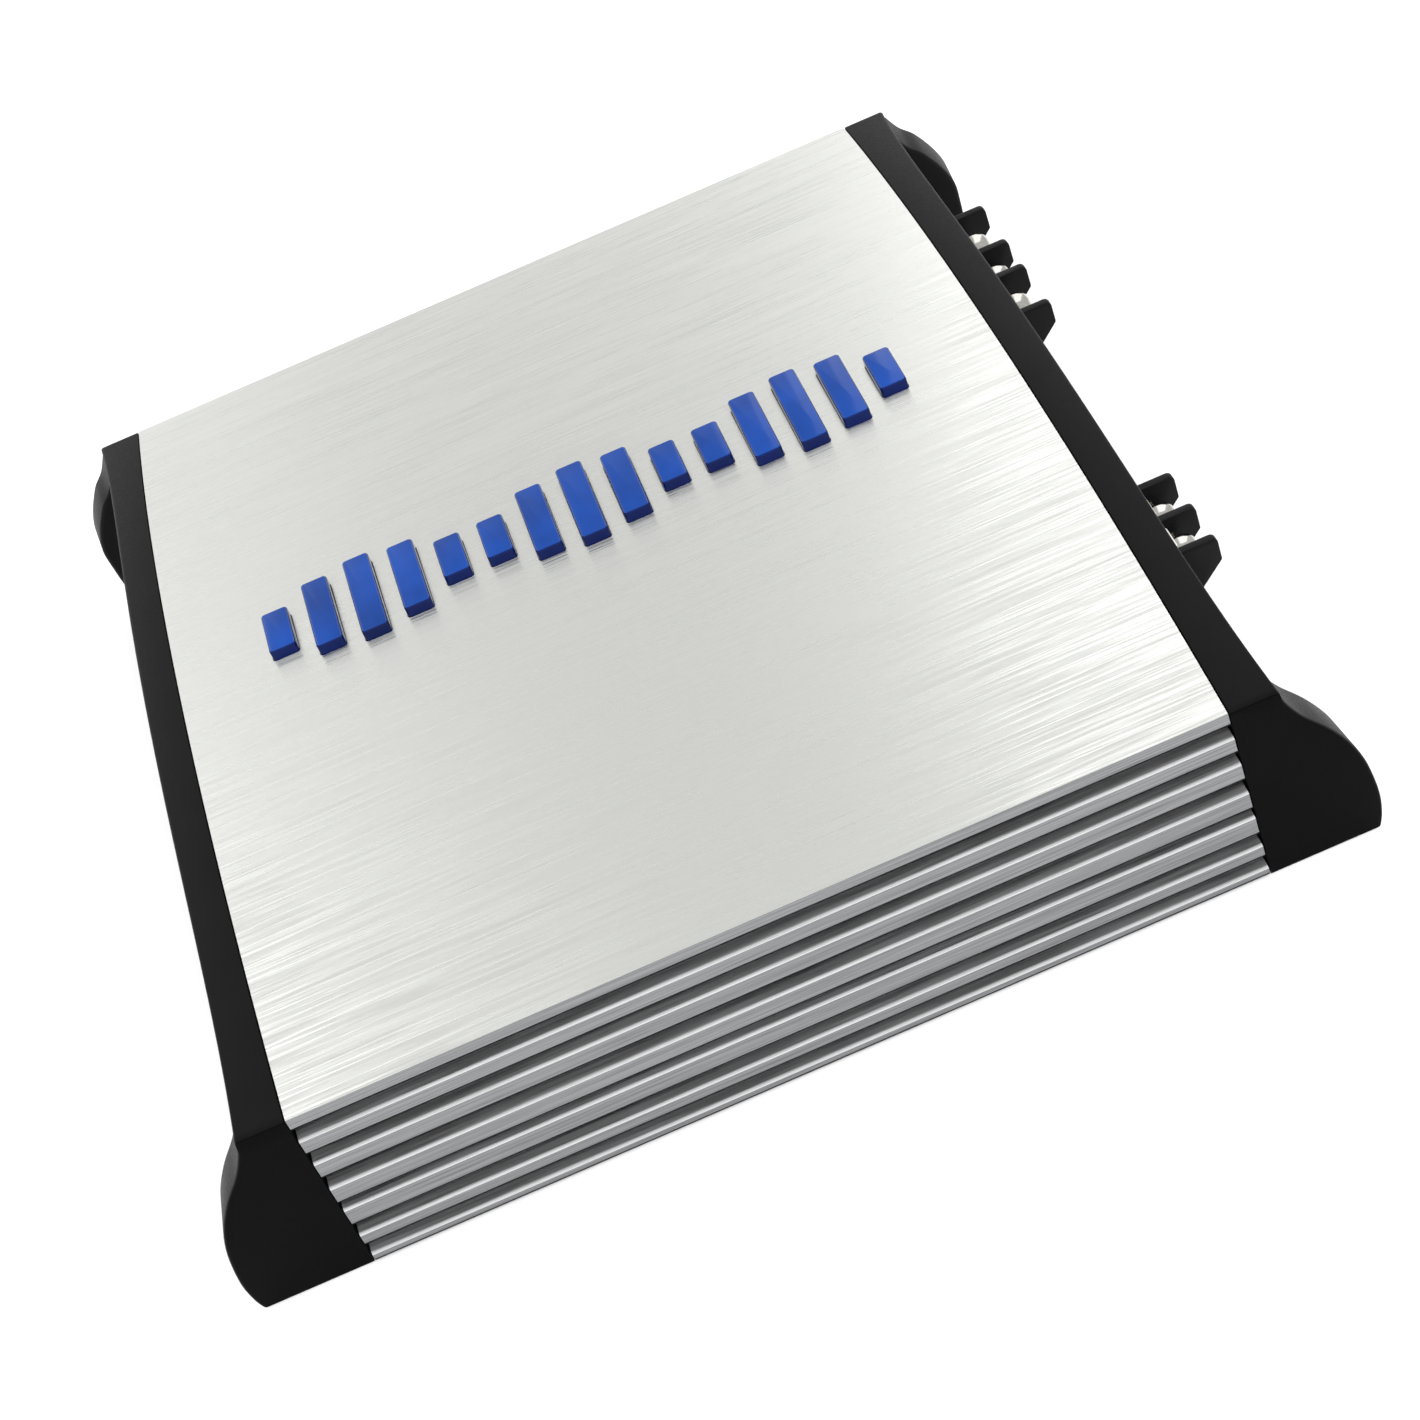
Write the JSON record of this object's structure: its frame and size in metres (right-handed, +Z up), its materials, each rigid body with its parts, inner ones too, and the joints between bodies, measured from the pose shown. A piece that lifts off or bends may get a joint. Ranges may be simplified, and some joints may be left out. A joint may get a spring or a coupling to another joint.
{
  "type": "car amplifier",
  "caption": "Car audio amplifier: finned aluminium heatsink, black moulded end caps, raised blue light bars, screw terminals on one end and knobs on the other.",
  "frame": {"origin": "centre of the underside, on the surface that the amplifier stands on", "axes": "+X along the heatsink extrusion towards the terminal end, +Y to the rear, +Z up"},
  "size_m": [0.253, 0.255, 0.0632],
  "materials": {
    "sink_aluminium": "brushed, clear anodised",
    "cap_plastic": "fine matte moulding",
    "blue_guide": "translucent, polished",
    "zinc_steel": "zinc plated",
    "nickel": "nickel plated",
    "black_nylon": "satin moulding",
    "green_board": "solder mask",
    "white_board": "white solder mask",
    "copper_winding": "enamelled wire",
    "capacitor_sleeve": "shrunk sleeve",
    "epoxy": "moulded epoxy",
    "thermal_pad": "matte",
    "fuse_amber": "translucent",
    "lens_blue": "polished lens",
    "lens_red": "polished lens"
  },
  "bodies": {
    "root": {"badge_led_board": "white_board", "badge_light_guide": "blue_guide", "bass_boost_potentiometer": "epoxy", "bottom_cover": "zinc_steel", "control_board": "green_board", "cover_screw_1": "zinc_steel", "cover_screw_2": "zinc_steel", "cover_screw_3": "zinc_steel", "cover_screw_4": "zinc_steel", "filter_capacitor_1": "capacitor_sleeve", "filter_capacitor_2": "capacitor_sleeve", "filter_capacitor_3": "capacitor_sleeve", "filter_capacitor_4": "capacitor_sleeve", "fuse_holder": "black_nylon", "gain_potentiometer": "epoxy", "heatsink_shell": "sink_aluminium", "insulator_pad_front": "thermal_pad", "insulator_pad_rear": "thermal_pad", "left_cap_screw_front": "zinc_steel", "left_cap_screw_rear": "zinc_steel", "left_end_cap": "cap_plastic", "low_pass_potentiometer": "epoxy", "main_circuit_board": "green_board", "output_choke": "copper_winding", "phase_switch_body": "zinc_steel", "power_indicator": "lens_blue", "power_terminal_block": "black_nylon", "power_transformer": "copper_winding", "power_transistor_front_1": "epoxy", "power_transistor_front_2": "epoxy", "power_transistor_rear_1": "epoxy", "power_transistor_rear_2": "epoxy", "protect_indicator": "lens_red", "rca_jack_block": "black_nylon", "remote_port": "black_nylon", "right_cap_screw_front": "zinc_steel", "right_cap_screw_rear": "zinc_steel", "right_end_cap": "cap_plastic", "speaker_terminal_block": "black_nylon", "subsonic_potentiometer": "epoxy", "transistor_clamp_bar_front": "zinc_steel", "transistor_clamp_bar_rear": "zinc_steel"},
    "ground_terminal_clamp": {"ground_terminal_clamp": "nickel"},
    "ground_terminal_screw": {"ground_terminal_screw": "nickel"},
    "remote_terminal_clamp": {"remote_terminal_clamp": "nickel"},
    "remote_terminal_screw": {"remote_terminal_screw": "nickel"},
    "battery_terminal_clamp": {"battery_terminal_clamp": "nickel"},
    "battery_terminal_screw": {"battery_terminal_screw": "nickel"},
    "speaker_minus_terminal_clamp": {"speaker_minus_terminal_clamp": "nickel"},
    "speaker_minus_terminal_screw": {"speaker_minus_terminal_screw": "nickel"},
    "speaker_plus_terminal_clamp": {"speaker_plus_terminal_clamp": "nickel"},
    "speaker_plus_terminal_screw": {"speaker_plus_terminal_screw": "nickel"},
    "gain_knob": {"gain_knob": "black_nylon"},
    "low_pass_knob": {"low_pass_knob": "black_nylon"},
    "subsonic_knob": {"subsonic_knob": "black_nylon"},
    "bass_boost_knob": {"bass_boost_knob": "black_nylon"},
    "phase_switch_lever": {"phase_switch_lever": "black_nylon"},
    "blade_fuse_1": {"blade_fuse_1": "fuse_amber"},
    "blade_fuse_2": {"blade_fuse_2": "fuse_amber"}
  },
  "joints": [
    {"name": "ground_terminal_travel", "type": "slide", "parent": "root", "child": "ground_terminal_clamp", "axis": [1, 0, 0], "range_m": [0, 0.003]},
    {"name": "ground_terminal_turn", "type": "hinge", "parent": "ground_terminal_clamp", "child": "ground_terminal_screw", "pos_m": [0.1136, 0.04285, 0.033], "axis": [1, 0, 0], "range_deg": [0, 1543]},
    {"name": "remote_terminal_travel", "type": "slide", "parent": "root", "child": "remote_terminal_clamp", "axis": [1, 0, 0], "range_m": [0, 0.003]},
    {"name": "remote_terminal_turn", "type": "hinge", "parent": "remote_terminal_clamp", "child": "remote_terminal_screw", "pos_m": [0.1136, 0.0578, 0.033], "axis": [1, 0, 0], "range_deg": [0, 1543]},
    {"name": "battery_terminal_travel", "type": "slide", "parent": "root", "child": "battery_terminal_clamp", "axis": [1, 0, 0], "range_m": [0, 0.003]},
    {"name": "battery_terminal_turn", "type": "hinge", "parent": "battery_terminal_clamp", "child": "battery_terminal_screw", "pos_m": [0.1136, 0.07285, 0.033], "axis": [1, 0, 0], "range_deg": [0, 1543]},
    {"name": "speaker_minus_terminal_travel", "type": "slide", "parent": "root", "child": "speaker_minus_terminal_clamp", "axis": [1, 0, 0], "range_m": [0, 0.003]},
    {"name": "speaker_minus_terminal_turn", "type": "hinge", "parent": "speaker_minus_terminal_clamp", "child": "speaker_minus_terminal_screw", "pos_m": [0.1136, -0.0615, 0.033], "axis": [1, 0, 0], "range_deg": [0, 1543]},
    {"name": "speaker_plus_terminal_travel", "type": "slide", "parent": "root", "child": "speaker_plus_terminal_clamp", "axis": [1, 0, 0], "range_m": [0, 0.003]},
    {"name": "speaker_plus_terminal_turn", "type": "hinge", "parent": "speaker_plus_terminal_clamp", "child": "speaker_plus_terminal_screw", "pos_m": [0.1136, -0.04935, 0.033], "axis": [1, 0, 0], "range_deg": [0, 1543]},
    {"name": "gain_knob_turn", "type": "hinge", "parent": "root", "child": "gain_knob", "pos_m": [-0.1065, -0.04, 0.03], "axis": [-1, 0, 0], "range_deg": [-140, 140]},
    {"name": "low_pass_knob_turn", "type": "hinge", "parent": "root", "child": "low_pass_knob", "pos_m": [-0.1065, -0.022, 0.03], "axis": [-1, 0, 0], "range_deg": [-140, 140]},
    {"name": "subsonic_knob_turn", "type": "hinge", "parent": "root", "child": "subsonic_knob", "pos_m": [-0.1065, -0.004, 0.03], "axis": [-1, 0, 0], "range_deg": [-140, 140]},
    {"name": "bass_boost_knob_turn", "type": "hinge", "parent": "root", "child": "bass_boost_knob", "pos_m": [-0.1065, 0.014, 0.03], "axis": [-1, 0, 0], "range_deg": [-140, 140]},
    {"name": "phase_switch_slide", "type": "slide", "parent": "root", "child": "phase_switch_lever", "axis": [0, 1, 0], "range_m": [0, 0.003]},
    {"name": "blade_fuse_1_pull", "type": "slide", "parent": "root", "child": "blade_fuse_1", "axis": [1, 0, 0], "range_m": [0, 0.012]},
    {"name": "blade_fuse_2_pull", "type": "slide", "parent": "root", "child": "blade_fuse_2", "axis": [1, 0, 0], "range_m": [0, 0.012]}
  ],
  "couplings": [
    {"joint": "ground_terminal_turn", "follows": "ground_terminal_travel", "rad_per_m": 8976},
    {"joint": "remote_terminal_turn", "follows": "remote_terminal_travel", "rad_per_m": 8976},
    {"joint": "battery_terminal_turn", "follows": "battery_terminal_travel", "rad_per_m": 8976},
    {"joint": "speaker_minus_terminal_turn", "follows": "speaker_minus_terminal_travel", "rad_per_m": 8976},
    {"joint": "speaker_plus_terminal_turn", "follows": "speaker_plus_terminal_travel", "rad_per_m": 8976}
  ]
}
